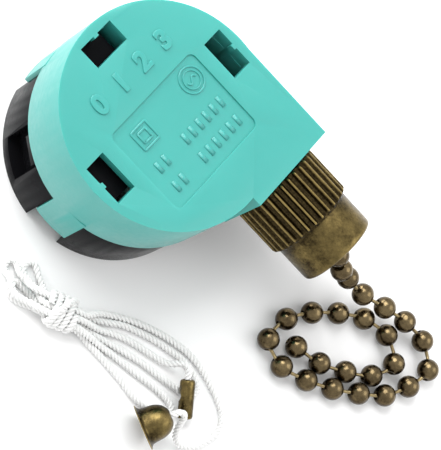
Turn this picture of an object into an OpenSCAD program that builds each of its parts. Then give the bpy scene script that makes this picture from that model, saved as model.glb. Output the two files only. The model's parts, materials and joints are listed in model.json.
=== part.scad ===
// Pull-chain rotary switch for a ceiling fan or lamp, four positions, four wires,
// lying on its back with its ball chain and a spare pull cord set beside it.
// The origin is the centre of the round housing on the flat underside of the base,
// +Z out through the cover's face, +X along the threaded neck, the way the chain is pulled.

/* [Housing] */
// Radius of the round part of the cover
cover_r = 15.5; // [15.3:0.1:15.7]
// Height of the whole housing, base to cover face
housing_h = 21; // [20.5:0.5:22]
// Height at which the cover meets the base
split_z = 10.4; // [10:0.1:10.8]
// Distance from the centre to the front wall that carries the neck
front_x = 16.9; // [16.5:0.1:17.3]
// Thickness of the cover's walls
cover_wall = 1.4; // [1.2:0.1:1.5]
// Length of each snap window in the cover's face
window_l = 6; // [5:0.5:6]
// Width of each snap window, measured outward
window_w = 3.3; // [2.8:0.1:3.3]

/* [Neck and cap nut] */
// Distance of the neck's axis from the housing's centre plane
neck_y = 8.6; // [8.5:0.1:8.7]
// Height of the neck's axis above the underside
neck_z = 13.5; // [13.4:0.1:13.6]
// Outer radius of the neck's thread
thread_r = 4.9; // [4.8:0.05:4.9]
// Radius of the neck's bore, which the chain runs through
neck_bore_r = 2.5; // [2.3:0.1:2.8]
// Radius over the cap nut's knurl
knurl_r = 6.5; // [6.3:0.1:6.6]
// Radius of the cap nut's smooth nose
nose_r = 5.8; // [5.6:0.1:5.9]
// Number of ridges round the knurl
knurl_n = 31; // [24:1:32]
// Length of the cap nut
nut_l = 13.3; // [12.5:0.1:13.5]

/* [Chain] */
// Radius of one bead
bead_r = 1.6; // [1.5:0.05:1.65]
// Distance from one bead's centre to the next
bead_pitch = 4.2; // [4.1:0.05:4.3]
// Number of beads outside the cap nut
beads_out = 25; // [20:1:26]

/* [Pull cord set] */
// Diameter of the cord
cord_d = 1; // [0.8:0.1:1.1]
// Outer radius of the slotted chain connector
connector_r = 1.05; // [1:0.05:1.05]
// Length of the chain connector
connector_l = 5.4; // [5.2:0.1:5.6]
// Radius of the bell's flared rim
bell_r = 3.2; // [3:0.1:3.2]
// Height of the bell from rim to crown
bell_h = 4.1; // [3.8:0.1:4.2]

/* [Hidden] */
$fn = 48;
base_r = cover_r - 0.4;
lip_r = cover_r - cover_wall - 0.15;
base_in_r = 12.4;
floor_t = 1.6;
side_y = cover_r - 0.1;
step_y = 0.6;
cover_top_in = housing_h - cover_wall;
shelf_z = [17.4, 18.6];
rib_z = 16.4;
tab_w = 5.4;
tab_skew = 0.6;
tab_bottom_z = 4;
slot_depth = 2;
panel_depth = 0.25;
panel_size = [13.1, 17.3];
panel_r = 1;
window_out = cover_r - cover_wall;
pin_r = 1.5;
pin_gap = 0.05;
nut_x = front_x + 0.4;
knurl_l = 7.5;
mouth_r = 2.9;
drum_r = neck_y;
drum_flange_r = drum_r + bead_r;
drum_z = [neck_z - 2.6, neck_z + 2.6];
bead_wall = 0.35;
link_r = 0.26;
link_hole_r = 0.65;
head_r = 0.7;
head_at = 0.75;
cord_hole_r = cord_d / 2 + 0.1;
rotor_z = [6.4, 9];
rotor_r = 9.6;
terminal_at = 6.8;
wire_r = 1.25;
socket_top = 4.2;
// Azimuths of the snap windows
snap_angles = [90, 180, 270];
// Snap hooks: azimuth, shift along the window, width and top height
SNAP_HOOKS = [[90, 0, 5.4, 14], [180, 0.4, 4.6, shelf_z[1]], [270, 0, 5.4, shelf_z[1]]];
// Azimuths of the wire sockets and their terminals
socket_angles = [45, 135, 225, 315];

// Chain route outside the neck, from the last bead in the bore to the free end
CHAIN = [[27.3, 8.6, 13.5], [30.6, 8.6, 13], [33.9, 9.4, 9], [36.3, 11.1, 5.7], [39.7, 11.9, 4.1],
  [44, 13.5, 3.4], [49.1, 15.1, 2.2], [52.4, 14.9, 1.6], [54.9, 13, 1.6], [54.5, 9.6, 1.6],
  [53.3, 5.9, 1.6], [49.5, 2.2, 1.6], [44.9, -1.1, 1.6], [40.4, -3.2, 1.6], [36, -3.9, 1.6],
  [33.6, -1, 1.6], [35.2, 3.6, 1.6], [38.3, 7.2, 1.6], [42.1, 10.4, 1.6], [46.2, 11.4, 1.6],
  [49.2, 11.8, 1.6], [50.4, 9.7, 1.6], [50.3, 6.8, 1.6], [47, 3.7, 1.6], [43.2, 1.3, 1.6],
  [39.7, 0, 1.6], [36.6, -0.1, 1.6], [35, -0.1, 1.6]];

// Cord route from the connector to the bell: it runs through the hank's knot six times,
// with three small bights on the left of it and three long ones on the right
CORD_TO_KNOT = [[29.1, -16, 2.5], [28.6, -15.4, 2.7], [28, -14.8, 2.9], [27.3, -14.6, 2.6],
  [26.7, -15, 1.9], [26.1, -15.5, 1.2], [25.2, -15.9, 0.6], [23.2, -16.4, 0.5], [21.1, -16.9, 0.5],
  [19, -17.6, 0.5], [17.2, -18.5, 0.5], [15.5, -19.6, 1], [13.5, -20.6, 2], [11.8, -21.5, 2.6]];
BIGHT_TOP = [[7.6, -23.1, 2.6], [6.2, -22.3, 1.3], [5, -21.9, 0.6], [4, -21.7, 0.5], [3, -21.5, 0.5],
  [2.5, -21, 0.5], [2.4, -20.3, 0.5], [2.7, -19.7, 0.5], [3.3, -19.5, 0.5], [4, -19.8, 0.5],
  [4.8, -20.3, 0.5], [5.9, -20.8, 0.6], [7.4, -21.7, 1.5]];
BIGHT_CONNECTOR = [[11.4, -20.6, 1.5], [13.5, -19.5, 0.8], [15, -18.4, 0.5], [16.3, -17.4, 0.5],
  [17.7, -16.4, 0.5], [19.4, -15.6, 0.5], [21.3, -14.9, 0.5], [23.2, -14.3, 0.5], [25, -13.9, 0.5],
  [26.8, -13.6, 0.5], [28.5, -13.6, 0.5], [30.1, -14.1, 0.5], [31.2, -14.8, 0.5], [31.4, -15.9, 0.5],
  [30.6, -16.7, 0.5], [29.3, -17.1, 0.5], [27.4, -17.5, 0.5], [25.2, -17.9, 0.5], [22.8, -18.3, 0.5],
  [20.6, -18.9, 0.5], [18.5, -19.5, 0.5], [16.5, -20.2, 0.6], [14.6, -20.8, 0.8], [11.8, -21.5, 1.5]];
BIGHT_LOW = [[7.6, -23.1, 1.5], [6.3, -23.1, 0.7], [5.1, -23, 0.5], [4.1, -23, 0.5], [3.3, -23, 0.5],
  [2.9, -23.4, 0.5], [2.7, -24.1, 0.5], [3.1, -24.7, 0.5], [3.8, -25, 0.5], [4.7, -25, 0.5],
  [5.8, -24.6, 0.5], [6.9, -24.1, 0.7], [8, -24, 1.5]];
BIGHT_BELL = [[12.1, -22.5, 1.5], [14.3, -21.8, 0.7], [16.2, -21.9, 0.5], [18.2, -21.9, 0.5],
  [20.1, -22, 0.5], [21.8, -22.1, 0.5], [23.5, -22.3, 0.5], [25.1, -22.5, 0.5], [26.7, -22.4, 0.5],
  [28.2, -22, 0.5], [29.6, -21.5, 0.5], [30.5, -20.6, 0.5], [30.3, -19.7, 0.5], [29.2, -19.3, 0.5],
  [27.5, -19.3, 0.5], [25.7, -19.5, 0.5], [23.6, -19.9, 0.5], [21.4, -20.2, 0.5], [19.3, -20.5, 0.5],
  [17.2, -21, 0.8], [15.2, -21.5, 1.6], [12.1, -22.5, 2.6]];
BIGHT_LEFT = [[8, -24, 2.6], [6.6, -24.2, 1.9], [5.5, -24.5, 1.5], [4.3, -24.9, 1.5],
  [3.3, -24.7, 1.5], [2.6, -24.1, 1.5], [1.8, -23.6, 1.2], [1.1, -23.3, 0.7], [0.6, -22.9, 0.5],
  [0.3, -22.2, 0.5], [0.5, -21.5, 0.5], [1.2, -21.3, 0.5], [1.9, -21.7, 0.9], [2.6, -22.3, 1.5],
  [3.8, -22.5, 1.7], [5, -22.7, 2.5], [7.3, -22, 2.6]];
CORD_TO_BELL = [[11.4, -20.6, 2.6], [13, -19.7, 2], [14.2, -17.9, 1.1], [15.8, -16.5, 0.5],
  [17.5, -15.4, 0.5], [19.2, -14.5, 0.5], [21.1, -13.7, 0.5], [22.9, -13.1, 0.5], [24.9, -12.6, 0.5],
  [26.8, -12.3, 0.5], [28.7, -12.3, 0.5], [30.6, -12.6, 0.5], [32.3, -13.1, 0.5], [34, -13.7, 0.5],
  [35.7, -14.5, 0.5], [36.9, -15.7, 0.5], [37.4, -17.2, 0.5], [37.2, -18.9, 0.5], [36.7, -20.4, 0.5],
  [35.7, -21.8, 0.6], [34.4, -22.7, 1], [33.2, -22.8, 1.8], [32.4, -22.4, 2.8], [31.9, -21.8, 3.8],
  [31.6, -21.2, 4.6], [31.2, -21, 5.1], [30.6, -21.2, 5.3], [30.2, -21.8, 5.1], [29.9, -22.5, 4.7]];
knot_at = [9.7, -22.3, 2.05];
knot_turn = 20;
knot_l = 4.4;
knot_w = 4.9;
connector_top = [29, -15.9, 2.6];
connector_end = [32.5, -19.6, 1.15];
// Turn of the connector about its own axis, which points its slot sideways
connector_turn = -66;
bell_crown = [30, -22.3, 4.8];
bell_mouth = [28.6, -25.6, 2.95];

// ---- vectors, routes and sweeps ----

function unit(v) = v / norm(v);

// A point on the smooth curve through route p, k whole points along plus a fraction t
function curve_point(p, k, t) =
  let (a = k > 0 ? p[k - 1] : 2 * p[0] - p[1])
  let (b = p[k])
  let (c = p[k + 1])
  let (d = k + 2 < len(p) ? p[k + 2] : 2 * p[k + 1] - p[k])
  0.5 * (2 * b + (c - a) * t + (2 * a - 5 * b + 4 * c - d) * t * t + (3 * b - a - 3 * c + d) * t * t * t);

function smooth(p, n) = concat([for (k = [0 : len(p) - 2]) for (i = [0 : n - 1]) curve_point(p, k, i / n)],
  [p[len(p) - 1]]);

// The point between a and b that lies a straight distance d from c
function meet(a, b, c, d, lo = 0, hi = 1, n = 20) =
  n == 0 ? a + (b - a) * hi :
  norm(a + (b - a) * (lo + hi) / 2 - c) < d ? meet(a, b, c, d, (lo + hi) / 2, hi, n - 1) :
  meet(a, b, c, d, lo, (lo + hi) / 2, n - 1);

// Points a fixed straight distance apart along the fine route q, as beads on a chain
function step_along(q, pitch, count, from, i = 0) =
  count == 0 || i >= len(q) - 1 ? [] :
  norm(q[i + 1] - from) < pitch ? step_along(q, pitch, count, from, i + 1) :
  let (next = meet(q[i], q[i + 1], from, pitch))
  concat([next], step_along(q, pitch, count - 1, next, i));

function tangent(p, i) = unit(p[min(i + 1, len(p) - 1)] - p[max(i - 1, 0)]);

function ring(at, dir, r, sides) =
  let (s = unit(cross(dir, [0, 0, 1])))
  let (u = cross(s, dir))
  [for (k = [0 : sides - 1]) at + r * (cos(360 * k / sides) * s + sin(360 * k / sides) * u)];

// A closed tube of radius r along the points p
module tube(p, r, sides = 8) {
  last = (len(p) - 1) * sides;
  polyhedron(
    points = [for (i = [0 : len(p) - 1]) each ring(p[i], tangent(p, i), r, sides)],
    faces = concat(
      [[for (k = [0 : sides - 1]) k]],
      [[for (k = [0 : sides - 1]) last + sides - 1 - k]],
      [for (i = [0 : len(p) - 2]) for (k = [0 : sides - 1]) let (a = i * sides, b = a + sides)
        [a + k, b + k, b + (k + 1) % sides, a + (k + 1) % sides]]));
}

// Puts children drawn along +Z at point a, pointing at point b
module aim(a, b) {
  v = b - a;
  translate(a)
    rotate([0, acos(v[2] / norm(v)), atan2(v[1], v[0])])
      children();
}

// ---- housing ----

// Plan outline of the housing: a disc with a square front corner for the neck
module outline(r, inset = 0) {
  circle(r, $fn = 96);
  translate([0, step_y + inset])
    square([front_x - inset, side_y - step_y - 2 * inset]);
}

module ring_sector(r_in, r_out, width, z0, z1) {
  intersection() {
    translate([0, 0, z0])
      linear_extrude(z1 - z0)
        difference() {
          circle(r_out, $fn = 96);
          circle(r_in, $fn = 96);
        }
    translate([0, -width / 2, z0 - 1])
      cube([r_out + 1, width, z1 - z0 + 2]);
  }
}

module cover_tab(angle) {
  rotate(angle)
    translate([0, tab_skew, 0])
      ring_sector(cover_r - cover_wall, cover_r, tab_w, tab_bottom_z, split_z + 1);
}

// Shallow rounded panel in the face
module panel_shape() {
  square([panel_size[0] - 2 * panel_r, panel_size[1]], center = true);
  square([panel_size[0], panel_size[1] - 2 * panel_r], center = true);
  for (x = [-1, 1], y = [-1, 1])
    translate([x * (panel_size[0] / 2 - panel_r), y * (panel_size[1] / 2 - panel_r)])
      circle(panel_r);
}

module cover() color([0.36, 0.78, 0.74]) {
  difference() {
    translate([0, 0, split_z])
      linear_extrude(housing_h - split_z)
        outline(cover_r);
    translate([0, 0, split_z - 1])
      linear_extrude(cover_top_in - split_z + 1)
        outline(cover_r - cover_wall, cover_wall);
    // snap windows, each with a small rib left in the middle of its outer edge
    for (angle = snap_angles)
      rotate(angle)
        difference() {
          translate([window_out - window_w, -window_l / 2, cover_top_in - 1])
            cube([window_w, window_l, 3]);
          translate([window_out - 0.35, -0.4, cover_top_in - 1])
            cube([1, 0.8, 3]);
        }
    translate([2.85, 0.05, housing_h - panel_depth])
      linear_extrude(1)
        panel_shape();
    // slot for the neck, open downward
    translate([front_x - cover_wall - 1, neck_y, neck_z])
      rotate([0, 90, 0])
        cylinder(r = thread_r + 0.05, h = 3);
    translate([front_x - cover_wall - 1, neck_y - thread_r - 0.05, split_z - 1])
      cube([3, 2 * thread_r + 0.1, neck_z - split_z + 1]);
    translate([0, 0, cover_top_in - 3])
      cylinder(r = pin_r, h = 3.3);
  }
  // boss that holds the top of the axle pin
  difference() {
    translate([0, 0, cover_top_in - 2.6])
      cylinder(r = 3, h = 2.6 + 0.1);
    translate([0, 0, cover_top_in - 3])
      cylinder(r = pin_r, h = 3.3);
  }
  for (angle = [180, 270])
    cover_tab(angle);
  // rib at one end of the back window
  translate([-14.2, window_l / 2, rib_z])
    cube([4, 0.8, cover_top_in - rib_z + 0.1]);
}

module side_window(angle) {
  rotate(angle)
    translate([base_r - slot_depth, -2.9, 1.9])
      cube([slot_depth + 2, 5.8, split_z]);
}

// Hook that rises behind a snap window, with a shelf just under the window if it is a tall one
module snap_hook(angle, shift, width, top)
  rotate(angle)
    translate([0, shift, 0]) {
      ring_sector(base_in_r, lip_r, width, split_z, top);
      if (top > shelf_z[0])
        ring_sector(9.4, lip_r, width, shelf_z[0], top);
    }

module base() color([0.08, 0.08, 0.09]) {
  difference() {
    union() {
      linear_extrude(split_z)
        outline(base_r, 0.4);
      // locating lip inside the cover
      translate([0, 0, split_z])
        linear_extrude(2)
          outline(lip_r, cover_wall + 0.15);
      for (h = SNAP_HOOKS)
        snap_hook(h[0], h[1], h[2], h[3]);
      // saddle that closes the slot under the neck
      translate([front_x - cover_wall, neck_y - thread_r + 0.05, split_z - 1])
        cube([cover_wall - 0.1, 2 * thread_r - 0.1, neck_z - split_z + 1]);
    }
    translate([0, 0, floor_t])
      linear_extrude(split_z + 2)
        outline(base_in_r, 3);
    // the neck and its flange
    translate([12, neck_y, neck_z])
      rotate([0, 90, 0])
        cylinder(r = 5.35, h = front_x - cover_wall - 12);
    translate([10, neck_y, neck_z])
      rotate([0, 90, 0])
        cylinder(r = thread_r + 0.05, h = 10);
    // slots that the cover's tabs snap into
    for (angle = [180, 270])
      rotate(angle)
        translate([base_r - slot_depth, tab_skew - tab_w / 2 - 0.1, -1])
          cube([slot_depth + 2, tab_w + 0.2, split_z + 1]);
    for (angle = [127, 233])
      side_window(angle);
    for (angle = socket_angles)
      rotate(angle)
        translate([terminal_at * sqrt(2), 0, -1])
          cylinder(r = wire_r, h = floor_t + 2);
    translate([0, 0, 0.8])
      cylinder(r = pin_r, h = 4);
  }
  // blocks in the side windows
  for (angle = [127, 233])
    rotate(angle)
      translate([base_r - slot_depth - 0.5, -1.7, 7.2])
        cube([slot_depth - 0.1, 4, split_z - 7.2]);
  // wire sockets
  for (angle = socket_angles)
    rotate(angle)
      translate([terminal_at * sqrt(2), 0, floor_t - 0.1])
        difference() {
          cylinder(r = 2.3, h = socket_top - floor_t + 0.1);
          translate([0, 0, -1])
            cylinder(r = wire_r, h = socket_top);
          // slot for the leg of the contact strip
          translate([11.25 - terminal_at * sqrt(2), -2, socket_top - 1.45 - floor_t + 0.1])
            cube([2, 4, 3]);
        }
  // boss that holds the foot of the axle pin
  difference() {
    translate([0, 0, floor_t - 0.1])
      cylinder(r = 3, h = 2);
    translate([0, 0, 0.8])
      cylinder(r = pin_r, h = 4);
  }
}

// ---- neck and cap nut ----

module neck_bushing() color([0.55, 0.45, 0.28])
  translate([12.3, neck_y, neck_z])
    rotate([0, 90, 0])
      rotate_extrude($fn = 64)
        polygon(concat(
          [[neck_bore_r, 0], [5.3, 0], [5.3, 3.15], [thread_r, 3.15], [thread_r, 4.6]],
          [for (k = [0 : 9]) each [[thread_r - 0.55, 5 + k], [thread_r, 5.5 + k]]],
          [[thread_r - 0.6, 15], [neck_bore_r + 0.6, 15], [neck_bore_r, 14.6]]));

module knurl_section() {
  tooth = 360 / knurl_n;
  polygon([for (k = [0 : knurl_n - 1]) each [
    (knurl_r - 0.5) * [cos((k - 0.5) * tooth), sin((k - 0.5) * tooth)],
    (knurl_r - 0.45) * [cos((k - 0.22) * tooth), sin((k - 0.22) * tooth)],
    knurl_r * [cos((k - 0.14) * tooth), sin((k - 0.14) * tooth)],
    knurl_r * [cos((k + 0.14) * tooth), sin((k + 0.14) * tooth)],
    (knurl_r - 0.45) * [cos((k + 0.22) * tooth), sin((k + 0.22) * tooth)]]]);
}

module cap_nut() color([0.45, 0.37, 0.22])
  translate([nut_x, neck_y, neck_z])
    rotate([0, 90, 0])
      difference() {
        union() {
          linear_extrude(knurl_l)
            knurl_section();
          rotate_extrude($fn = 64)
            polygon([[0, knurl_l - 0.1], [knurl_r - 0.6, knurl_l - 0.1], [knurl_r - 0.6, knurl_l],
              [nose_r, knurl_l + 0.4], [nose_r, nut_l - 0.9], [nose_r - 0.3, nut_l - 0.25],
              [nose_r - 1, nut_l], [0, nut_l]]);
        }
        translate([0, 0, -1])
          cylinder(r = thread_r + 0.06, h = nut_l - 1.2 + 1);
        translate([0, 0, 1])
          cylinder(r = mouth_r, h = nut_l);
      }

// ---- works ----

module axle_pin() color([0.75, 0.76, 0.78])
  translate([0, 0, 0.85])
    cylinder(r = pin_r - 0.01, h = cover_top_in + 0.25 - 0.85);

module chain_drum() color([0.92, 0.92, 0.88])
  difference() {
    rotate_extrude($fn = 96)
      polygon([[pin_r + pin_gap, drum_z[0]], [drum_flange_r, drum_z[0]], [drum_flange_r, drum_z[0] + 0.7],
        [drum_r - bead_r - 0.1, drum_z[0] + 0.7], [drum_r - bead_r - 0.1, drum_z[1] - 0.7],
        [drum_flange_r, drum_z[1] - 0.7], [drum_flange_r, drum_z[1]], [pin_r + pin_gap, drum_z[1]]]);
    // lightening recess under the return spring
    translate([0, 0, drum_z[1] - 0.4])
      difference() {
        cylinder(r = 8.5, h = 1);
        cylinder(r = 2.6, h = 1);
      }
  }

module drive_pawl() color([0.8, 0.8, 0.75])
  translate([0, 0, drum_z[0] - 0.9])
    difference() {
      union() {
        cylinder(r = 3.2, h = 0.88);
        for (a = [0, 180])
          rotate(a) {
            translate([0, 1.4, 0.2])
              cube([7.2, 1.6, 0.68]);
            translate([6.6, 1.4, -0.35])
              cube([0.6, 1.6, 1.2]);
          }
      }
      translate([0, 0, -1])
        cylinder(r = pin_r + pin_gap, h = 3);
    }

module return_spring() color([0.7, 0.71, 0.73]) {
  turns = 3;
  per_turn = 16;
  coil = [for (i = [0 : turns * per_turn]) let (a = 360 * i / per_turn)
    [4.5 * cos(a), 4.5 * sin(a), drum_z[1] + 0.1 + 0.7 * i / per_turn]];
  tube(coil, 0.28);
}

module contact_rotor() color([0.93, 0.92, 0.88])
  difference() {
    union() {
      translate([0, 0, rotor_z[0]])
        cylinder(r = rotor_r, h = rotor_z[1] - rotor_z[0], $fn = 96);
      translate([0, 0, rotor_z[0] - 1.6])
        cylinder(r = 2.6, h = 2);
      // ratchet steps on the upper face
      for (a = [0 : 90 : 270])
        rotate(a)
          translate([4.5, 0.2, rotor_z[1] - 0.1])
            cube([4, 1, 0.45]);
    }
    translate([0, 0, rotor_z[0] - 3])
      cylinder(r = pin_r + pin_gap, h = 8);
    // detent notches round the rim
    for (a = [0 : 90 : 270])
      rotate(a)
        translate([rotor_r + 0.5, 0, rotor_z[0] - 1])
          cylinder(r = 1.3, h = 5);
    // pocket for the contact spring
    translate([0, 0, rotor_z[0] - 0.01])
      difference() {
        cylinder(r = 5, h = 1.2);
        translate([0, 0, -1])
          cylinder(r = 2.6, h = 3);
      }
  }

module rotor_contact() color([0.85, 0.6, 0.3])
  translate([0, 0, rotor_z[0] - 0.55])
    difference() {
      union() {
        cylinder(r = 5.6, h = 0.5);
        for (a = [45, 135, 225])
          rotate(a)
            translate([4.5, -1.2, 0])
              cube([4.8, 2.4, 0.5]);
      }
      translate([0, 0, -1])
        cylinder(r = 2.65, h = 3);
    }

module contact_spring() color([0.7, 0.71, 0.73]) {
  per_turn = 16;
  coil = [for (i = [0 : 1.5 * per_turn]) let (a = 360 * i / per_turn)
    [3.8 * cos(a), 3.8 * sin(a), rotor_z[0] + 0.22 + 0.5 * i / per_turn]];
  tube(coil, 0.18);
}

// The detent works along the line at this azimuth, opposite the neck
detent_angle = 180;

// Drawn held back clear of the rotor: it slides inward into a notch
module detent_plunger() color([0.75, 0.76, 0.78])
  rotate(detent_angle)
    translate([rotor_r - 0.05, 0, 7.7]) {
      translate([0.9, 0, 0])
        rotate([0, 90, 0])
          cylinder(r = 0.8, h = 0.8);
      translate([0.9, 0, 0])
        sphere(r = 0.8);
    }

module detent_spring() color([0.7, 0.71, 0.73])
  rotate(detent_angle)
    translate([rotor_r + 1.82, 0, 7.7])
      for (k = [0 : 2])
        translate([0.33 * k, 0, 0])
          rotate([0, 90, 0])
            rotate_extrude($fn = 32)
              translate([0.55, 0])
                circle(0.15, $fn = 16);

// Contact strip over one wire socket, with a raised dimple that the rotor contact wipes
module terminal(angle) color([0.85, 0.62, 0.32])
  rotate(angle) {
    translate([6.6, -1.9, socket_top + 0.5])
      cube([5.2, 3.8, 0.5]);
    translate([8, 0, socket_top + 0.9])
      cylinder(r = 0.7, h = rotor_z[0] - 0.55 - socket_top - 0.92);
    translate([11.3, -1.9, socket_top - 1.4])
      cube([0.5, 3.8, 2.2]);
  }

module terminal_l() { terminal(socket_angles[0]); }
module terminal_1() { terminal(socket_angles[1]); }
module terminal_2() { terminal(socket_angles[2]); }
module terminal_3() { terminal(socket_angles[3]); }

// Leaf that bites the wire pushed into the socket below it
module wire_clamp(angle) color([0.7, 0.71, 0.73])
  rotate(angle)
    translate([terminal_at * sqrt(2), 0, socket_top]) {
      translate([-2.2, -1, 0.02])
        cube([0.9, 2, 0.46]);
      translate([-1.4, -1, 0.26])
        cube([1.2, 2, 0.22]);
    }

module wire_clamp_l() { wire_clamp(socket_angles[0]); }
module wire_clamp_1() { wire_clamp(socket_angles[1]); }
module wire_clamp_2() { wire_clamp(socket_angles[2]); }
module wire_clamp_3() { wire_clamp(socket_angles[3]); }

// ---- chain ----

// Hollow bead at p, with its two holes along the direction dir
module bead(p, dir) {
  aim(p, p + dir)
    rotate_extrude()
      intersection() {
        difference() {
          circle(bead_r);
          circle(bead_r - bead_wall);
        }
        translate([link_hole_r, -bead_r])
          square([bead_r, 2 * bead_r]);
      }
}

// Dumbbell pin that joins the bead at a, lying along da, to the bead at b, lying along db
module link(a, da, b, db) {
  from = a + head_at * da;
  to = b - head_at * db;
  aim(from, to) {
    cylinder(r = link_r, h = norm(to - from), $fn = 24);
    cylinder(r = head_r, h = 0.2, $fn = 24);
    translate([0, 0, norm(to - from) - 0.2])
      cylinder(r = head_r, h = 0.2, $fn = 24);
  }
}

// Beads wound on the drum, counted back from where the chain leaves it
drum_step = 2 * asin(bead_pitch / 2 / drum_r);
drum_bead_n = 6;
drum_points = [for (k = [0 : drum_bead_n]) let (a = 90 + drum_step * (k + 0.5))
  [drum_r * cos(a), drum_r * sin(a), neck_z]];
// Beads on the straight run through the neck, then along the loose route
neck_bead_n = 7;
straight_points = [for (k = [0 : neck_bead_n - 1])
  [27.3 - bead_pitch * (neck_bead_n - 1 - k), neck_y, neck_z]];
loose_points = step_along(smooth(CHAIN, 10), bead_pitch, beads_out, CHAIN[0]);
chain_points = concat(straight_points, loose_points);

module bead_row(p)
  for (i = [0 : len(p) - 1])
    bead(p[i], tangent(p, i));

module link_row(p)
  for (i = [0 : len(p) - 2])
    link(p[i], tangent(p, i), p[i + 1], tangent(p, i + 1));

module drum_beads() color([0.45, 0.37, 0.22])
  bead_row(drum_points);

module drum_links() color([0.55, 0.47, 0.3])
  link_row(drum_points);

module chain_beads() color([0.45, 0.37, 0.22])
  bead_row(chain_points);

module chain_links() color([0.55, 0.47, 0.3])
  link_row(chain_points);

// ---- pull cord set ----

module pull_cord() color([0.95, 0.95, 0.93])
  for (run = [CORD_TO_KNOT, BIGHT_TOP, BIGHT_CONNECTOR, BIGHT_LOW, BIGHT_BELL, BIGHT_LEFT, CORD_TO_BELL])
    tube(run, cord_d / 2);

module hank_knot() color([0.93, 0.93, 0.91])
  translate(knot_at)
    rotate([90, 0, 90 + knot_turn])
      translate([0, 0, -knot_l / 2])
        linear_extrude(knot_l) {
          side = knot_w / 2 - knot_at[2];
          for (x = [-side, side])
            translate([x, 0])
              circle(knot_at[2]);
          square([2 * side, 2 * knot_at[2]], center = true);
        }

module chain_connector() color([0.45, 0.37, 0.22])
  aim(connector_top, connector_end)
    rotate(connector_turn)
      difference() {
        rotate_extrude()
          polygon([[0, 0], [connector_r - 0.35, 0], [connector_r - 0.1, 0.12], [connector_r, 0.4],
            [connector_r, connector_l - 0.4], [connector_r - 0.1, connector_l - 0.12],
            [connector_r - 0.35, connector_l], [0, connector_l]]);
        translate([0, 0, 0.2])
          cylinder(r = connector_r - 0.34, h = connector_l - 1);
        cylinder(r = cord_hole_r, h = 1, center = true);
        // opening for the last bead of a chain, and the slot for the pin behind it
        translate([0, 0, 2.4])
          rotate([0, 90, 0])
            cylinder(r = 0.75, h = 2);
        translate([0, -0.25, 2.4])
          cube([2, 0.5, connector_l - 3.6]);
      }

module bell() color([0.45, 0.37, 0.22])
  aim(bell_crown, bell_mouth)
    rotate_extrude($fn = 64)
      polygon([[cord_hole_r, 0], [1.15, 0.2], [1.8, 0.7], [2.2, 1.4], [2.42, 2.2], [2.5, 3], [2.55, 3.55],
        [2.75, 3.8], [bell_r, bell_h - 0.15], [bell_r, bell_h], [bell_r - 0.35, bell_h - 0.02],
        [2.55, 3.95], [2.35, 3.7], [2.3, 3], [2.22, 2.3], [2, 1.55], [1.62, 0.9], [1.05, 0.45],
        [cord_hole_r, 0.25]]);

module bell_knot() color([0.95, 0.95, 0.93])
  aim(bell_crown, bell_mouth)
    translate([0, 0, 0.96])
      sphere(r = 0.9);

module connector_knot() color([0.95, 0.95, 0.93])
  aim(connector_top, connector_end)
    translate([0, 0, 0.95])
      sphere(r = 0.65);

cover();
base();
neck_bushing();
cap_nut();
axle_pin();
chain_drum();
drive_pawl();
return_spring();
contact_rotor();
rotor_contact();
contact_spring();
detent_plunger();
detent_spring();
terminal_l();
terminal_1();
terminal_2();
terminal_3();
wire_clamp_l();
wire_clamp_1();
wire_clamp_2();
wire_clamp_3();
drum_beads();
drum_links();
chain_beads();
chain_links();
pull_cord();
hank_knot();
chain_connector();
bell();
bell_knot();
connector_knot();
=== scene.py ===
"""Looks of a pull-chain switch, its ball chain and a spare pull cord set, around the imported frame."""
import json
import math
import random
from itertools import pairwise

import bmesh
import bpy
from mathutils import Matrix, Vector


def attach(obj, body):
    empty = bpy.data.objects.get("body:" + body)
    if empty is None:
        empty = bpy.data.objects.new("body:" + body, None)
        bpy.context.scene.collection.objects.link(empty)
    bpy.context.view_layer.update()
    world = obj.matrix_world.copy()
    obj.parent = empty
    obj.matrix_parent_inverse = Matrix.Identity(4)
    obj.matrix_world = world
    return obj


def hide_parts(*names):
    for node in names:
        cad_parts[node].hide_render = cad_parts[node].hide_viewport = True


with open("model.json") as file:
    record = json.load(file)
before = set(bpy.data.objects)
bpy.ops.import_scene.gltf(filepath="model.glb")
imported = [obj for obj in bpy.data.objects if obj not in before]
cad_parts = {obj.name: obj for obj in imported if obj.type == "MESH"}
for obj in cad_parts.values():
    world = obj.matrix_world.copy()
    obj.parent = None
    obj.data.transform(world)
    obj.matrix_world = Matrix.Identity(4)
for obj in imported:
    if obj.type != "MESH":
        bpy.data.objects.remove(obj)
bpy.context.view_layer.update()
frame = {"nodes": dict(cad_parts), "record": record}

MM = 0.001
random.seed(7)

# ---- sizes, in millimetres, as in the CAD model ----

FACE_Z = 21
PANEL_Z = 20.75
NECK_Y, NECK_Z = 8.6, 13.5
NUT_X, NUT_L, KNURL_L = 17.3, 13.3, 7.5
KNURL_R, NOSE_R, NUT_BORE_R, MOUTH_R = 6.5, 5.8, 4.96, 2.9
KNURL_N = 31
BEAD_R, BEAD_PITCH, BEADS_OUT = 1.6, 4.2, 25
NECK_BEADS = 7
PIN_HEAD_AT = 0.75
COVER_R, SIDE_Y, FRONT_X = 15.5, 15.4, 16.9
CORD_D = 1.0
CORD_TWIST = 1.9

# ---- routes, the same points as in the CAD model ----

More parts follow.
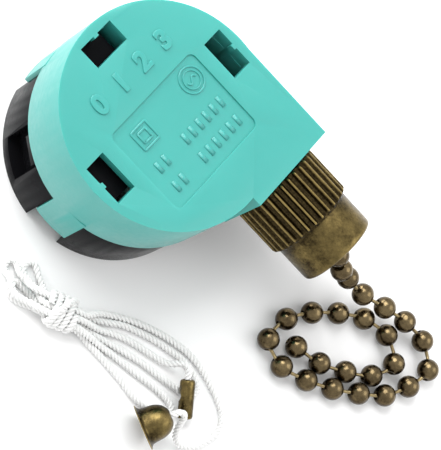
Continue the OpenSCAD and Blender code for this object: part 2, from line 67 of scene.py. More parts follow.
CHAIN = [[27.3, 8.6, 13.5], [30.6, 8.6, 13], [33.9, 9.4, 9], [36.3, 11.1, 5.7],
         [39.7, 11.9, 4.1], [44, 13.5, 3.4], [49.1, 15.1, 2.2], [52.4, 14.9, 1.6],
         [54.9, 13, 1.6], [54.5, 9.6, 1.6], [53.3, 5.9, 1.6], [49.5, 2.2, 1.6],
         [44.9, -1.1, 1.6], [40.4, -3.2, 1.6], [36, -3.9, 1.6], [33.6, -1, 1.6],
         [35.2, 3.6, 1.6], [38.3, 7.2, 1.6], [42.1, 10.4, 1.6], [46.2, 11.4, 1.6],
         [49.2, 11.8, 1.6], [50.4, 9.7, 1.6], [50.3, 6.8, 1.6], [47, 3.7, 1.6], [43.2, 1.3, 1.6],
         [39.7, 0, 1.6], [36.6, -0.1, 1.6], [35, -0.1, 1.6]]
CORD = [
    # from the connector to the knot
    [29.1, -16, 2.5], [28.6, -15.4, 2.7], [28, -14.8, 2.9], [27.3, -14.6, 2.6], [26.7, -15, 1.9],
    [26.1, -15.5, 1.2], [25.2, -15.9, 0.6], [23.2, -16.4, 0.5], [21.1, -16.9, 0.5],
    [19, -17.6, 0.5], [17.2, -18.5, 0.5], [15.5, -19.6, 1], [13.5, -20.6, 2], [11.8, -21.5, 2.6],
    # upper small bight
    [7.6, -23.1, 2.6], [6.2, -22.3, 1.3], [5, -21.9, 0.6], [4, -21.7, 0.5], [3, -21.5, 0.5],
    [2.5, -21, 0.5], [2.4, -20.3, 0.5], [2.7, -19.7, 0.5], [3.3, -19.5, 0.5], [4, -19.8, 0.5],
    [4.8, -20.3, 0.5], [5.9, -20.8, 0.6], [7.4, -21.7, 1.5],
    # long bight by the connector
    [11.4, -20.6, 1.5], [13.5, -19.5, 0.8], [15, -18.4, 0.5], [16.3, -17.4, 0.5],
    [17.7, -16.4, 0.5], [19.4, -15.6, 0.5], [21.3, -14.9, 0.5], [23.2, -14.3, 0.5],
    [25, -13.9, 0.5], [26.8, -13.6, 0.5], [28.5, -13.6, 0.5], [30.1, -14.1, 0.5],
    [31.2, -14.8, 0.5], [31.4, -15.9, 0.5], [30.6, -16.7, 0.5], [29.3, -17.1, 0.5],
    [27.4, -17.5, 0.5], [25.2, -17.9, 0.5], [22.8, -18.3, 0.5], [20.6, -18.9, 0.5],
    [18.5, -19.5, 0.5], [16.5, -20.2, 0.6], [14.6, -20.8, 0.8], [11.8, -21.5, 1.5],
    # lower small bight
    [7.6, -23.1, 1.5], [6.3, -23.1, 0.7], [5.1, -23, 0.5], [4.1, -23, 0.5], [3.3, -23, 0.5],
    [2.9, -23.4, 0.5], [2.7, -24.1, 0.5], [3.1, -24.7, 0.5], [3.8, -25, 0.5], [4.7, -25, 0.5],
    [5.8, -24.6, 0.5], [6.9, -24.1, 0.7], [8, -24, 1.5],
    # long bight by the bell
    [12.1, -22.5, 1.5], [14.3, -21.8, 0.7], [16.2, -21.9, 0.5], [18.2, -21.9, 0.5],
    [20.1, -22, 0.5], [21.8, -22.1, 0.5], [23.5, -22.3, 0.5], [25.1, -22.5, 0.5],
    [26.7, -22.4, 0.5], [28.2, -22, 0.5], [29.6, -21.5, 0.5], [30.5, -20.6, 0.5],
    [30.3, -19.7, 0.5], [29.2, -19.3, 0.5], [27.5, -19.3, 0.5], [25.7, -19.5, 0.5],
    [23.6, -19.9, 0.5], [21.4, -20.2, 0.5], [19.3, -20.5, 0.5], [17.2, -21, 0.8],
    [15.2, -21.5, 1.6], [12.1, -22.5, 2.6],
    # left small bight
    [8, -24, 2.6], [6.6, -24.2, 1.9], [5.5, -24.5, 1.5], [4.3, -24.9, 1.5], [3.3, -24.7, 1.5],
    [2.6, -24.1, 1.5], [1.8, -23.6, 1.2], [1.1, -23.3, 0.7], [0.6, -22.9, 0.5],
    [0.3, -22.2, 0.5], [0.5, -21.5, 0.5], [1.2, -21.3, 0.5], [1.9, -21.7, 0.9],
    [2.6, -22.3, 1.5], [3.8, -22.5, 1.7], [5, -22.7, 2.5], [7.3, -22, 2.6],
    # outer loop to the bell
    [11.4, -20.6, 2.6], [13, -19.7, 2], [14.2, -17.9, 1.1], [15.8, -16.5, 0.5],
    [17.5, -15.4, 0.5], [19.2, -14.5, 0.5], [21.1, -13.7, 0.5], [22.9, -13.1, 0.5],
    [24.9, -12.6, 0.5], [26.8, -12.3, 0.5], [28.7, -12.3, 0.5], [30.6, -12.6, 0.5],
    [32.3, -13.1, 0.5], [34, -13.7, 0.5], [35.7, -14.5, 0.5], [36.9, -15.7, 0.5],
    [37.4, -17.2, 0.5], [37.2, -18.9, 0.5], [36.7, -20.4, 0.5], [35.7, -21.8, 0.6],
    [34.4, -22.7, 1], [33.2, -22.8, 1.8], [32.4, -22.4, 2.8], [31.9, -21.8, 3.8],
    [31.6, -21.2, 4.6], [31.2, -21, 5.1], [30.6, -21.2, 5.3], [30.2, -21.8, 5.1],
    [29.9, -22.5, 4.7]]
KNOT_AT = Vector((9.7, -22.3, 2.05))
KNOT_TURN = math.radians(20)
CONNECTOR_TOP = Vector((29, -15.9, 2.6))
CONNECTOR_END = Vector((32.5, -19.6, 1.15))
BELL_CROWN = Vector((30, -22.3, 4.8))
BELL_MOUTH = Vector((28.6, -25.6, 2.95))
CONNECTOR_AXIS = (CONNECTOR_END - CONNECTOR_TOP).normalized()
BELL_AXIS = (BELL_MOUTH - BELL_CROWN).normalized()

# ---- camera ----

CAMERA_AT = Vector((-36, -140.7, 283.5)) * MM
LOOK_AT = Vector((18.69, 5.15, 0)) * MM
PICTURE_UP = Vector((-0.7245, 0.644, 0.2458))
LENS = 185.4


def make_camera():
    away = (LOOK_AT - CAMERA_AT).normalized()
    right = away.cross(PICTURE_UP).normalized()
    turn = Matrix((right, right.cross(away), -away)).transposed()
    data = bpy.data.cameras.new("camera")
    data.lens = LENS
    data.clip_start = 0.01
    data.clip_end = 10
    cam = bpy.data.objects.new("camera", data)
    cam.matrix_world = Matrix.Translation(CAMERA_AT) @ turn.to_4x4()
    bpy.context.scene.collection.objects.link(cam)
    bpy.context.scene.camera = cam


# ---- curves and meshes ----

def smooth(points, n):
    """A Catmull-Rom curve through points, with n steps between each pair."""
    p = [Vector(q) for q in points]
    p = [2 * p[0] - p[1], *p, 2 * p[-1] - p[-2]]
    out = []
    for a, b, c, d in zip(p, p[1:], p[2:], p[3:]):
        for i in range(n):
            t = i / n
            out.append(0.5 * (2 * b + (c - a) * t + (2 * a - 5 * b + 4 * c - d) * t * t
                              + (3 * b - a - 3 * c + d) * t ** 3))
    return out + [p[-2]]


def length(points):
    return sum((b - a).length for a, b in pairwise(points))


def resample(points, step):
    """Points along the line, evenly spaced at about step."""
    total = length(points)
    count = max(2, round(total / step))
    out, done, i = [points[0]], 0.0, 0
    for k in range(1, count):
        want = total * k / count
        while done + (points[i + 1] - points[i]).length < want:
            done += (points[i + 1] - points[i]).length
            i += 1
        edge = points[i + 1] - points[i]
        out.append(points[i] + edge * ((want - done) / edge.length))
    return out + [points[-1]]


def tangents(points):
    last = len(points) - 1
    return [(points[min(i + 1, last)] - points[max(i - 1, 0)]).normalized() for i in range(last + 1)]


def carried_frames(points):
    """Two directions square to the line at each point, carried along it with no twist."""
    out = []
    along = tangents(points)
    side = along[0].orthogonal().normalized()
    for t in along:
        side = (side - t * side.dot(t)).normalized()
        out.append((side, t.cross(side)))
    return out


def beads_along(points, pitch, count):
    """Bead centres a straight distance pitch apart, from the line's first point."""
    out = [Vector(points[0])]
    for a, b in pairwise(smooth(points, 10)):
        while len(out) <= count and (b - out[-1]).length >= pitch:
            edge, back = b - a, a - out[-1]
            half = edge.dot(back) / edge.length_squared
            rest = (back.length_squared - pitch ** 2) / edge.length_squared
            out.append(a + edge * (math.sqrt(half ** 2 - rest) - half))
    return out


def add_object(name, verts, faces, material, values=None):
    """A smooth-shaded mesh object from points in millimetres, with a value for each point that carries
    wear and painted light.
    """
    mesh = bpy.data.meshes.new(name)
    mesh.from_pydata([Vector(v) * MM for v in verts], [], faces)
    mesh.polygons.foreach_set("use_smooth", [True] * len(mesh.polygons))
    wear_and_painted_light = mesh.attributes.new("wear_and_painted_light", "FLOAT", "POINT")
    wear_and_painted_light.data.foreach_set("value", values or [0.0] * len(verts))
    mesh.materials.append(material)
    obj = bpy.data.objects.new(name, mesh)
    bpy.context.scene.collection.objects.link(obj)
    return obj


class Build:
    """Collects the points, faces and per-point wear and painted-light values of one mesh."""

    def __init__(self):
        self.verts, self.faces, self.wear_and_painted_light = [], [], []

    def rows(self, rows, wear_and_painted_light=None, closed=False, caps=False):
        """Skins rows of points, each row a closed ring."""
        start, n = len(self.verts), len(rows[0])
        for i, row in enumerate(rows):
            self.verts += row
            self.wear_and_painted_light += wear_and_painted_light[i] if wear_and_painted_light else [0.0] * n
        for i in range(len(rows) if closed else len(rows) - 1):
            a, b = start + i * n, start + (i + 1) % len(rows) * n
            self.faces += [(a + k, a + (k + 1) % n, b + (k + 1) % n, b + k) for k in range(n)]
        if caps:
            self.faces.append(tuple(start + k for k in reversed(range(n))))
            self.faces.append(tuple(start + (len(rows) - 1) * n + k for k in range(n)))

    def object(self, name, material):
        return add_object(name, self.verts, self.faces, material, self.wear_and_painted_light)


def ring(centre, u, v, radius, n, phase=0.0):
    turn = [2 * math.pi * k / n + phase for k in range(n)]
    return [centre + u * (radius * math.cos(a)) + v * (radius * math.sin(a)) for a in turn]


def axes(direction):
    """Two directions square to the given one."""
    d = Vector(direction).normalized()
    u = d.orthogonal().normalized()
    return u, d.cross(u)


# ---- materials ----

class Nodes:
    """A Principled material and short ways to wire it."""

    def __init__(self, name, **sockets):
        self.material = bpy.data.materials.new(name)
        self.material.use_nodes = True
        self.tree = self.material.node_tree
        self.shader = self.tree.nodes["Principled BSDF"]
        for key, value in sockets.items():
            self.shader.inputs[key.replace("_", " ")].default_value = value
        self.place = self.add("ShaderNodeTexCoord").outputs["Object"]

    def add(self, kind, **values):
        node = self.tree.nodes.new(kind)
        for key, value in values.items():
            setattr(node, key, value)
        return node

    def link(self, a, b):
        self.tree.links.new(a, b)

    def noise(self, per_mm, detail=4.0, rough=0.55, stretch=(1, 1, 1)):
        scale = self.add("ShaderNodeMapping")
        scale.inputs["Scale"].default_value = [per_mm / MM * s for s in stretch]
        self.link(self.place, scale.inputs["Vector"])
        tex = self.add("ShaderNodeTexNoise")
        tex.inputs["Scale"].default_value = 1
        tex.inputs["Detail"].default_value = detail
        tex.inputs["Roughness"].default_value = rough
        self.link(scale.outputs["Vector"], tex.inputs["Vector"])
        return tex.outputs["Fac"]

    def remap(self, value, low, high, to_low, to_high):
        node = self.add("ShaderNodeMapRange")
        for key, v in zip(("From Min", "From Max", "To Min", "To Max"), (low, high, to_low, to_high)):
            node.inputs[key].default_value = v
        self.link(value, node.inputs["Value"])
        return node.outputs["Result"]

    def math(self, operation, a, b):
        node = self.add("ShaderNodeMath", operation=operation, use_clamp=True)
        for socket, v in zip(node.inputs, (a, b)):
            if isinstance(v, (int, float)):
                socket.default_value = v
            else:
                self.link(v, socket)
        return node.outputs["Value"]

    def mix(self, fac, a, b):
        node = self.add("ShaderNodeMix", data_type="RGBA")
        self.link(fac, node.inputs["Factor"])
        for key, v in zip(("A", "B"), (a, b)):
            socket = [s for s in node.inputs if s.name == key and s.type == "RGBA"][0]
            if isinstance(v, tuple):
                socket.default_value = (*v, 1)
            else:
                self.link(v, socket)
        return [s for s in node.outputs if s.type == "RGBA"][0]

    def attribute(self, name):
        return self.add("ShaderNodeAttribute", attribute_name=name).outputs["Fac"]

    def bump(self, height, distance_mm, strength=1.0):
        node = self.add("ShaderNodeBump")
        node.inputs["Distance"].default_value = distance_mm * MM
        node.inputs["Strength"].default_value = strength
        self.link(height, node.inputs["Height"])
        self.link(node.outputs["Normal"], self.shader.inputs["Normal"])

    def set(self, key, value):
        self.link(value, self.shader.inputs[key])


def plastic(name, dark, light, rough, subsurface=0.0, ior=1.5, coat=0.0):
    """Moulded plastic: a slight cloud in the colour, fine moulding texture and small scuffs."""
    m = Nodes(name, Subsurface_Weight=subsurface, IOR=ior, Coat_Weight=coat, Coat_Roughness=0.18)
    m.shader.inputs["Subsurface Radius"].default_value = (0.4 * MM, 1.6 * MM, 1.3 * MM)
    m.shader.inputs["Subsurface Scale"].default_value = 1.0
    m.set("Base Color", m.mix(m.noise(0.12, 3), dark, light))
    scuff = m.noise(1.6, 5, 0.65, (1, 0.25, 1))
    m.set("Roughness", m.remap(scuff, 0.35, 0.75, rough - 0.04, rough + 0.1))
    m.bump(m.noise(5, 3), 0.006, 0.5)
    return m.material


def brass(name, dark, gold, gain, rough=0.36):
    """Antiqued brass: dark in the hollows, gold where it is worn, mottled in between; the per-point
    value also brings painted light, lighter on top and darker below.
    """
    m = Nodes(name, Metallic=1.0)
    mottle = m.remap(m.noise(0.35, 8, 0.7), 0.38, 0.68, 0.0, 1.0)
    speck = m.remap(m.noise(3.2, 5, 0.75), 0.4, 0.7, 0.0, 1.0)
    worn_and_lit = m.math("ADD", m.math("MULTIPLY", mottle, gain), m.attribute("wear_and_painted_light"))
    worn_and_lit = m.math("ADD", worn_and_lit, m.math("MULTIPLY", speck, gain * 0.45))
    m.set("Base Color", m.mix(worn_and_lit, dark, gold))
    m.set("Roughness", m.remap(m.noise(2.2, 5, 0.6), 0.3, 0.7, rough - 0.08, rough + 0.14))
    scratch = m.noise(2.5, 6, 0.7, (1, 0.35, 0.6))
    m.bump(scratch, 0.03, 0.45)
    return m.material


def steel(name, colour, rough):
    m = Nodes(name, Metallic=1.0)
    m.set("Base Color", m.mix(m.noise(1.5), tuple(c * 0.85 for c in colour), colour))
    m.set("Roughness", m.remap(m.noise(4, 4, 0.6, (1, 1, 0.1)), 0.3, 0.7, rough - 0.06, rough + 0.1))
    m.bump(m.noise(6, 3, 0.6, (1, 1, 0.1)), 0.004, 0.5)
    return m.material


def yarn(name):
    """White twisted yarn: fine fibres, with painted shade greying the hollows between the strands."""
    m = Nodes(name, Roughness=0.85, Sheen_Weight=0.25, Subsurface_Weight=0.15)
    m.shader.inputs["Subsurface Radius"].default_value = (0.3 * MM, 0.3 * MM, 0.3 * MM)
    m.shader.inputs["Subsurface Scale"].default_value = 1.0
    fibre = m.noise(7, 4, 0.7)
    # fibre grain times painted shade: the per-point value darkens the yarn between strands
    fibre_and_painted_shade = m.math("MULTIPLY", m.remap(fibre, 0.35, 0.6, 0.6, 1.0), m.attribute("wear_and_painted_light"))
    m.set("Base Color", m.mix(fibre_and_painted_shade, (0.7, 0.7, 0.69), (0.95, 0.95, 0.94)))
    m.bump(fibre, 0.05, 0.7)
    return m.material


def floor_material():
    m = Nodes("studio_floor", Roughness=0.75, Specular_IOR_Level=0.2)
    m.set("Base Color", m.mix(m.noise(0.01, 2), (0.93, 0.93, 0.93), (0.96, 0.96, 0.96)))
    return m.material


TEAL = plastic("teal_plastic", (0.045, 0.34, 0.305), (0.055, 0.37, 0.335), 0.38, 0.25, 1.42, 0.25)
BLACK = plastic("black_plastic", (0.004, 0.004, 0.005), (0.008, 0.008, 0.009), 0.2, 0.0, 1.1)
NYLON = plastic("white_nylon", (0.72, 0.72, 0.66), (0.8, 0.8, 0.75), 0.45, 0.1)
ANTIQUE = brass("antique_brass", (0.02, 0.014, 0.007), (0.31, 0.23, 0.085), 0.55, 0.3)
BEADS = brass("chain_brass", (0.045, 0.032, 0.018), (0.3, 0.225, 0.115), 0.45, 0.2)
PINS = brass("chain_pins", (0.2, 0.15, 0.08), (0.5, 0.4, 0.2), 0.5, 0.3)
NECK = brass("neck_brass", (0.3, 0.22, 0.1), (0.6, 0.46, 0.22), 0.6, 0.28)
STEEL = steel("pin_steel", (0.62, 0.63, 0.65), 0.28)
SPRING = steel("spring_steel", (0.5, 0.51, 0.54), 0.32)
COPPER = steel("contact_copper", (0.75, 0.45, 0.25), 0.3)
YARN = yarn("white_yarn")
BY_SLOT = {"cover_plastic": TEAL, "base_plastic": BLACK, "antique_brass": ANTIQUE,
           "neck_brass": NECK, "chain_brass": BEADS, "chain_pins": PINS, "pin_steel": STEEL,
           "spring_steel": SPRING, "white_nylon": NYLON, "contact_copper": COPPER,
           "cord_fabric": YARN}

# ---- camera and cords come first ----

make_camera()


def rope(build, points, diameter, pitch, steps=14, sides=8):
    """Three strands twisted round the line, each a tube that is round in the line's cross-section."""
    line = resample(points, pitch / steps)
    strand_r = 0.265 * diameter
    offset = diameter / 2 - strand_r
    turned = [2 * math.pi * i / steps for i in range(len(line))]
    sides_at = carried_frames(line)
    for strand in range(3):
        rows, wear_and_painted_light = [], []
        for p, (u, v), turn in zip(line, sides_at, turned):
            a = turn + 2 * math.pi * strand / 3
            out = u * math.cos(a) + v * math.sin(a)
            rows.append(ring(p + out * offset, u, v, strand_r, sides))
            # painted shade: each strand's side facing into the rope gets a lower value, greying the yarn
            # where strands meet
            wear_and_painted_light.append([max(0.0, min(1.0, 0.45 + (q - p).dot(out) / diameter)) for q in rows[-1]])
        build.rows(rows, wear_and_painted_light, caps=True)


def above_table(points, radius):
    return [Vector((p.x, p.y, max(p.z, radius))) for p in points]


def make_cord():
    path = above_table(smooth(CORD, 10), CORD_D / 2)
    build = Build()
    rope(build, path, CORD_D, CORD_TWIST)
    cord = build.object("pull_cord_rope", YARN)
    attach(cord, "cord_set")
    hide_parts("pull_cord")
    return cord, path


def make_knot():
    """Wraps round the hank, and one turn that crosses them."""
    along = Vector((math.cos(KNOT_TURN), math.sin(KNOT_TURN), 0))
    across = Vector((-along.y, along.x, 0))
    half_w, half_h = 2.1, 1.5
    turns, per_turn = 4, 20
    line = []
    for i in range(turns * per_turn + 1):
        a = 2 * math.pi * i / per_turn
        shift = -1.75 + 0.98 * i / per_turn
        swell = 1 - 0.1 * abs(shift) / 2
        line.append(KNOT_AT + along * shift + across * (half_w * swell * math.sin(a))
                    + Vector((0, 0, half_h * swell * math.cos(a))))
    crossing = []
    for i in range(per_turn + 1):
        a = 2 * math.pi * i / per_turn
        shift = 0.55 + 1.35 * math.sin(a - 0.5)
        grow = 0.45 * max(0.0, math.cos(a))
        crossing.append(KNOT_AT + along * shift + across * ((half_w + 0.1) * math.sin(a))
                        + Vector((0, 0, (half_h + grow) * math.cos(a))))
    build = Build()
    rope(build, above_table(smooth(line, 3), CORD_D / 2), CORD_D, CORD_TWIST)
    rope(build, above_table(smooth(crossing, 3), CORD_D / 2), CORD_D, CORD_TWIST)
    knot = build.object("hank_knot_wraps", YARN)
    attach(knot, "cord_set")
    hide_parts("hank_knot")
    return knot


def stopper_knot(name, node, body, centre, direction, radius):
    """A small overhand knot: two turns of cord wound into a ball."""
    u, v = axes(direction)
    d = Vector(direction).normalized()
    line = []
    for i in range(37):
        a = 4 * math.pi * i / 36
        tilt = 0.35 * math.sin(a * 1.5)
        line.append(centre + (u * math.cos(a) + v * math.sin(a)) * (radius * 0.55) + d * (radius * tilt))
    build = Build()
    rope(build, smooth(line, 2), radius * 0.9, 1.5)
    knot = build.object(name, YARN)
    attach(knot, body)
    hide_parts(node)
    return knot


def painted_top_light(outward, wear_and_painted_light):
    """Painted light: makes a piece lighter on top and darker below, as light from above would, added to
    its wear value.
    """
    return wear_and_painted_light + 0.55 * (outward.normalized().z - 0.75)


def bead(build, centre, direction, wear_and_painted_light):
    """Hollow bead: a rolled sheet ball with a fine seam, its two ends turned in at the holes."""
    u, v = axes(direction)
    d = Vector(direction).normalized()
    n, rows_n = 32, 15
    hole = math.asin(0.5 / BEAD_R)
    seam_at = random.random() * 2 * math.pi
    profile = [(0.4, 1.3), (0.42, 1.46)]
    for i in range(rows_n + 1):
        a = hole + (math.pi - 2 * hole) * i / rows_n
        profile.append((BEAD_R * math.sin(a), BEAD_R * math.cos(a)))
    profile += [(0.42, -1.46), (0.4, -1.3)]
    rows, worn_and_lit = [], []
    for r, h in profile:
        row = []
        for k in range(n):
            a = 2 * math.pi * k / n
            seam = 0.035 if k == 0 and r > 0.55 else 0.0
            side = u * math.cos(a + seam_at) + v * math.sin(a + seam_at)
            row.append(centre + side * (r - seam) + d * (h * (1 - seam / BEAD_R)))
        rows.append(row)
        # painted light: each bead is lighter on top and darker on its lower side, over its random wear
        # tone
        worn_and_lit.append([painted_top_light(q - centre, wear_and_painted_light) for q in row])
    build.rows(rows[::-1], worn_and_lit[::-1])


def pin(build, a, b, da, db):
    """Dumbbell pin between two beads, with a head inside each."""
    start, end = a + da * PIN_HEAD_AT, b - db * PIN_HEAD_AT
    d = (end - start).normalized()
    u, v = axes(d)
    reach = (end - start).length
    profile = [(0.05, 0), (0.5, 0.02), (0.6, 0.15), (0.5, 0.3), (0.27, 0.42), (0.24, reach / 2),
               (0.27, reach - 0.42), (0.5, reach - 0.3), (0.6, reach - 0.15), (0.5, reach - 0.02),
               (0.05, reach)]
    build.rows([ring(start + d * h, u, v, r, 16) for r, h in profile], caps=True)


def make_chain():
    straight = [Vector((CHAIN[0][0] - BEAD_PITCH * k, NECK_Y, NECK_Z))
                for k in reversed(range(NECK_BEADS))]
    loose = beads_along(CHAIN, BEAD_PITCH, BEADS_OUT)[1:]
    centres = straight + loose
    along = tangents(centres)
    first = len(straight)
    made = []
    for name, lo, hi in (("neck_chain", 0, first), ("loose_chain", first, len(centres))):
        beads, pins = Build(), Build()
        for i in range(lo, hi):
            bead(beads, centres[i], along[i], 0.05 + 0.1 * random.random())
        for i in range(max(lo - 1, 0), hi - 1):
            pin(pins, centres[i], centres[i + 1], along[i], along[i + 1])
        balls = beads.object(name, BEADS)
        rods = pins.object(name + "_pins", PINS)
        for piece, node, slot in ((balls, "chain_beads", "chain_brass"),
                                  (rods, "chain_links", "chain_pins")):
            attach(piece, "chain_run")
            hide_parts(node)
        made.append((balls, rods))
    ends = loose[0] - along[first] * BEAD_R, loose[-1] + along[-1] * BEAD_R
    path = [ends[0], *loose, ends[1]]
    balls, rods = made[1]
    [p * MM for p in resample(path, 1.0)]


def refined(node, name, material, weight, width, segments=3):
    """A copy of a CAD node's mesh with its edges rounded.

    weight(edge, corner angle) gives each edge's share of width.
    """
    source = frame["nodes"][node]
    bm = bmesh.new()
    bm.from_mesh(source.data)
    bmesh.ops.remove_doubles(bm, verts=bm.verts, dist=0.0005 * MM)
    bmesh.ops.dissolve_limit(bm, angle_limit=math.radians(0.4), verts=bm.verts, edges=bm.edges)
    layer = bm.edges.layers.float.new("bevel_weight_edge")
    for edge in bm.edges:
        if len(edge.link_faces) == 2:
            angle = math.degrees(edge.calc_face_angle(0))
            edge[layer] = weight(edge, angle)
    mesh = bpy.data.meshes.new(name)
    bm.to_mesh(mesh)
    bm.free()
    mesh.polygons.foreach_set("use_smooth", [True] * len(mesh.polygons))
    mesh.materials.append(material)
    obj = bpy.data.objects.new(name, mesh)
    bpy.context.scene.collection.objects.link(obj)
    bevel = obj.modifiers.new("round_edges", "BEVEL")
    bevel.limit_method = "WEIGHT"
    bevel.width = width * MM
    bevel.segments = segments
    bevel.use_clamp_overlap = True
    bevel.miter_outer = "MITER_ARC"
    bevel.harden_normals = True
    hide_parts(node)
    return obj


def by_angle(limit, share):
    return lambda edge, angle: share if angle > limit else 0.0


def make_connector():
    piece = refined("chain_connector", "pull_connector", ANTIQUE, by_angle(25, 1.0), 0.07)
    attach(piece, "connector")
    return piece


def make_bell():
    """Pressed bell: domed crown, waisted skirt, thin turned-out rim."""
    outer = [(0.6, 0.0), (0.85, 0.03), (1.3, 0.22), (1.8, 0.66), (2.18, 1.3), (2.38, 2), (2.46, 2.7),
             (2.52, 3.3), (2.6, 3.62), (2.85, 3.86), (3.12, 3.98), (3.2, 4.05), (3.14, 4.1)]
    inner = [(2.9, 4.03), (2.66, 3.86), (2.46, 3.6), (2.36, 3.1), (2.27, 2.3), (2.05, 1.5), (1.66, 0.88),
             (1.1, 0.42), (0.6, 0.22)]
    profile = [(p.x, p.y) for p in smooth([Vector((r, h, 0)) for r, h in outer + inner], 4)]
    build = Build()
    u, v = axes(BELL_AXIS)
    rows = [ring(BELL_CROWN + BELL_AXIS * h, u, v, r, 96) for r, h in profile]
    middle = BELL_CROWN + BELL_AXIS * 2.2
    rim_from = 3.95
    # painted light: below the rim, the bell's body is lighter on top and darker below
    wear_and_painted_light = [[0.8 if h > rim_from else painted_top_light(q - middle, 0.1) for q in row]
            for row, (_, h) in zip(rows, profile)]
    build.rows(rows, wear_and_painted_light, closed=True)
    bell = build.object("pull_bell_shell", ANTIQUE)
    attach(bell, "pull_bell")
    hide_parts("bell")
    return bell


CORD_PIECE, CORD_PATH = make_cord()
KNOT_PIECE = make_knot()
BELL_STOP = stopper_knot("bell_stopper", "bell_knot", "cord_set",
                         BELL_CROWN + BELL_AXIS * 0.96, BELL_AXIS, 0.85)
CONNECTOR_STOP = stopper_knot("connector_stopper", "connector_knot", "cord_set",
                              CONNECTOR_TOP + CONNECTOR_AXIS * 0.95, CONNECTOR_AXIS, 0.6)
CONNECTOR_PIECE = make_connector()
BELL_PIECE = make_bell()
[p * MM for p in resample(CORD_PATH, 0.5)]
make_chain()

# ---- housing ----


def on_outline(p, reach=0.35):
    """True for a point on the cover's outer wall."""
    x, y = p.x / MM, p.y / MM
    return (math.hypot(x, y) > COVER_R - reach
            or (x > 0 and (y > SIDE_Y - reach or x > FRONT_X - reach)))


def cover_weight(edge, angle):
    if angle < 25:
        return 0.0
    a, b = (v.co for v in edge.verts)
    if min(a.z, b.z) > (FACE_Z - 0.01) * MM and on_outline(a) and on_outline(b):
        return 1.0
    if abs(a.x - b.x) + abs(a.y - b.y) < 0.01 * MM and on_outline(a) and a.x > 15 * MM:
        return 0.6
    return 0.2


def make_housing():
    cover = refined("cover", "teal_cover", TEAL, cover_weight, 0.42, 4)
    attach(cover, "housing")
    base = refined("base", "black_base", BLACK, by_angle(25, 1.0), 0.12)
    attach(base, "housing")


def make_nut():
    """Cap nut: straight knurl with rounded ridge ends, smooth nose with a rounded rim."""
    per_ridge = 16
    n = KNURL_N * per_ridge
    valley = KNURL_R - 0.55

    def crest(k):
        at = abs((k % per_ridge) / per_ridge - 0.5)
        return max(0.0, min(1.0, (at - 0.22) / 0.2))

    stations = [0.05, 0.12, 0.25, 0.42, 0.65, 1, 2, 3, 4, 5, 6, KNURL_L - 0.6, KNURL_L - 0.35,
                KNURL_L - 0.18, KNURL_L - 0.05]
    rows, wear_and_painted_light = [], []

    def turned(x, radius, worn_and_lit):
        rows.append([(x, radius) for _ in range(n)])
        wear_and_painted_light.append([worn_and_lit] * n)

    turned(0.0, NUT_BORE_R + 0.4, 0.0)
    for x in stations:
        rise = math.sqrt(max(0.0, 1 - max(0.0, 1 - x / 0.65) ** 2))
        fall = math.sqrt(max(0.0, 1 - max(0.0, 1 - (KNURL_L - x) / 0.4) ** 2))
        lift = min(rise, fall)
        rows.append([(x, valley + (KNURL_R - valley) * lift * crest(k)) for k in range(n)])
        wear_and_painted_light.append([-0.9 + 1.5 * crest(k) ** 2 * lift for k in range(n)])
    turned(KNURL_L + 0.1, valley - 0.05, -0.8)
    turned(KNURL_L + 0.3, NOSE_R, -0.2)
    for x in (KNURL_L + 1.2, KNURL_L + 2.4, KNURL_L + 3.6, NUT_L - 1):
        turned(x, NOSE_R, 0.05)
    rim = 0.55
    for i in range(1, 9):
        a = math.pi / 2 * i / 8
        turned(NUT_L - rim + rim * math.sin(a), NOSE_R - rim + rim * math.cos(a), 0.25)
    turned(NUT_L, MOUTH_R + 0.25, 0.15)
    turned(NUT_L - 0.07, MOUTH_R + 0.07, 0.4)
    turned(NUT_L - 0.25, MOUTH_R, 0.2)
    turned(NUT_L - 1.2, MOUTH_R, 0.0)
    turned(NUT_L - 1.2, NUT_BORE_R, 0.0)
    turned(0.2, NUT_BORE_R, 0.0)
    turned(0.0, NUT_BORE_R + 0.2, 0.0)
    build = Build()
    placed = []
    for row, worn_and_lit in zip(rows, wear_and_painted_light):
        turns = [2 * math.pi * k / n for k in range(n)]
        placed.append([Vector((NUT_X + x, NECK_Y + r * math.cos(a), NECK_Z + r * math.sin(a)))
                       for a, (x, r) in zip(turns, row)])
        # painted light: the nut is lightened on top and darkened underneath, as light from above would
        worn_and_lit[:] = [w + 0.25 * (math.sin(a) - 0.7) for a, w in zip(turns, worn_and_lit)]
    build.rows(placed, wear_and_painted_light, closed=True)
    nut = build.object("knurled_nut", ANTIQUE)
    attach(nut, "nut")
    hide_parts("cap_nut")


def stroke(build, points, width, z, height, closed=False):
    """A low raised line with sloping sides, along points in the plane of the face."""
    count = len(points)
    rows = []
    for i, p in enumerate(points):
        before = points[i - 1] if closed or i else p
        after = points[(i + 1) % count] if closed or i < count - 1 else p
        t = (after - before).normalized()
        side = Vector((-t.y, t.x, 0))
        half = width / 2
        shape = ((-half, -0.02), (-half * 0.72, height * 0.7), (-half * 0.35, height),
                 (half * 0.35, height), (half * 0.72, height * 0.7), (half, -0.02))
        rows.append([Vector((p.x, p.y, z)) + side * s + Vector((0, 0, h)) for s, h in shape])
    build.rows(rows, closed=closed, caps=not closed)


def circle_points(centre, radius, n):
    return [Vector(centre) + Vector((radius * math.cos(a), radius * math.sin(a), 0))
            for a in (2 * math.pi * k / n for k in range(n))]


def square_points(centre, half):
    c = Vector(centre)
    corners = [c + Vector((sx * half, sy * half, 0)) for sx, sy in ((-1, -1), (1, -1), (1, 1), (-1, 1))]
    out = []
    for a, b in zip(corners, corners[1:] + corners[:1]):
        out += [a + (b - a) * t for t in (0.04, 0.35, 0.65, 0.96)]
    return out


DIGIT_SIZE, DIGIT_DEPTH, DIGIT_EDGE = 3.7, 0.07, 0.1
RELIEF_HEIGHT = 0.15


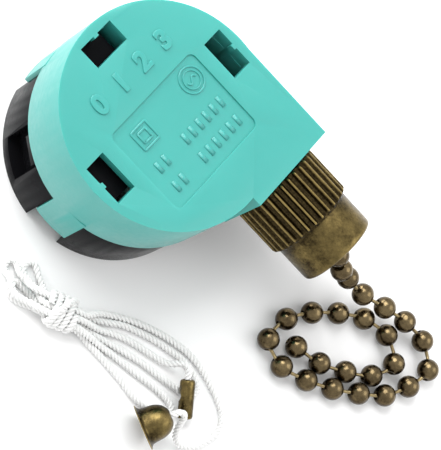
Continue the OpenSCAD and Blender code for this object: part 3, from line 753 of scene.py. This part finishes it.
def make_relief():
    """Generic moulded marks: a ring with one wave, a double square, and rows of plain blocks."""
    build = Build()
    height = RELIEF_HEIGHT
    mark = (-1.0, 6.0, 0)
    stroke(build, circle_points(mark, 1.85, 64), 0.34, PANEL_Z, height, closed=True)
    stroke(build, circle_points(mark, 1.3, 64), 0.2, PANEL_Z, height, closed=True)
    wave = [Vector(mark) + Vector((0.42 * math.sin(2 * math.pi * t), -0.85 + 1.7 * t, 0))
            for t in (i / 24 for i in range(25))]
    stroke(build, wave, 0.32, PANEL_Z, height)
    for half in (1.45, 0.75):
        stroke(build, square_points((-0.5, -4.6, 0), half), 0.4, PANEL_Z, height, closed=True)
    for x, first, count in ((3.7, -0.6, 6), (7, -0.6, 6), (3.7, -6.3, 2), (7, -6.3, 2)):
        for k in range(count):
            y = first + 1.5 * k
            stroke(build, [Vector((x - 0.8, y, 0)), Vector((x + 0.8, y, 0))], 0.75, PANEL_Z, height)
    marks = build.object("panel_marks", TEAL)
    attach(marks, "housing")

    text = bpy.data.curves.new("position_digits", "FONT")
    text.body = "0 1 2 3"
    text.size = DIGIT_SIZE * MM
    text.space_word = 2.5
    text.align_x = "CENTER"
    text.align_y = "CENTER"
    text.offset = 0.1 * MM
    text.extrude = DIGIT_DEPTH * MM
    text.bevel_depth = DIGIT_EDGE * MM
    text.bevel_resolution = 2
    text.materials.append(TEAL)
    digits = bpy.data.objects.new("position_digits", text)
    digits.matrix_world = (Matrix.Translation(Vector((-7.3, 0.2, FACE_Z + 0.03)) * MM)
                           @ Matrix.Rotation(math.pi / 2, 4, "Z"))
    bpy.context.scene.collection.objects.link(digits)
    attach(digits, "housing")


make_housing()
make_nut()
make_relief()

# ---- finishes of the CAD nodes that stay ----

SLOT_OF = {row["node"]: row["material_slot"] for row in frame["record"]["subparts"]}
for name, node in frame["nodes"].items():
    node.data.materials.clear()
    node.data.materials.append(BY_SLOT[SLOT_OF[name]])

# ---- stage and light ----


def area_light(name, at, aim, size, power, colour=(1, 1, 1)):
    data = bpy.data.lights.new(name, "AREA")
    data.shape = "RECTANGLE"
    data.size, data.size_y = size
    data.energy = power
    data.color = colour
    light = bpy.data.objects.new(name, data)
    light.location = at
    light.rotation_mode = "QUATERNION"
    light.rotation_quaternion = (Vector(aim) - Vector(at)).to_track_quat("-Z", "Y")
    bpy.context.scene.collection.objects.link(light)


def make_stage():
    half = 3.0
    verts = [(-half / MM, -half / MM, 0), (half / MM, -half / MM, 0), (half / MM, half / MM, 0),
             (-half / MM, half / MM, 0)]
    floor = add_object("floor", verts, [(0, 1, 2, 3)], floor_material())
    floor.location.z = -0.02 * MM
    world = bpy.data.worlds.new("studio")
    world.use_nodes = True
    world.node_tree.nodes["Background"].inputs["Color"].default_value = (1, 1, 1, 1)
    world.node_tree.nodes["Background"].inputs["Strength"].default_value = 0.9
    bpy.context.scene.world = world
    centre = (0.015, 0, 0.01)
    area_light("key", (-0.28, 0.12, 0.42), centre, (0.35, 0.35), 2.0)
    area_light("left_strip", (-0.36, 0.1, 0.11), centre, (0.4, 0.1), 1.1)
    area_light("fill", (0.3, 0.2, 0.35), centre, (0.3, 0.3), 0.5)
    bpy.context.scene.view_settings.view_transform = "Standard"


make_stage()
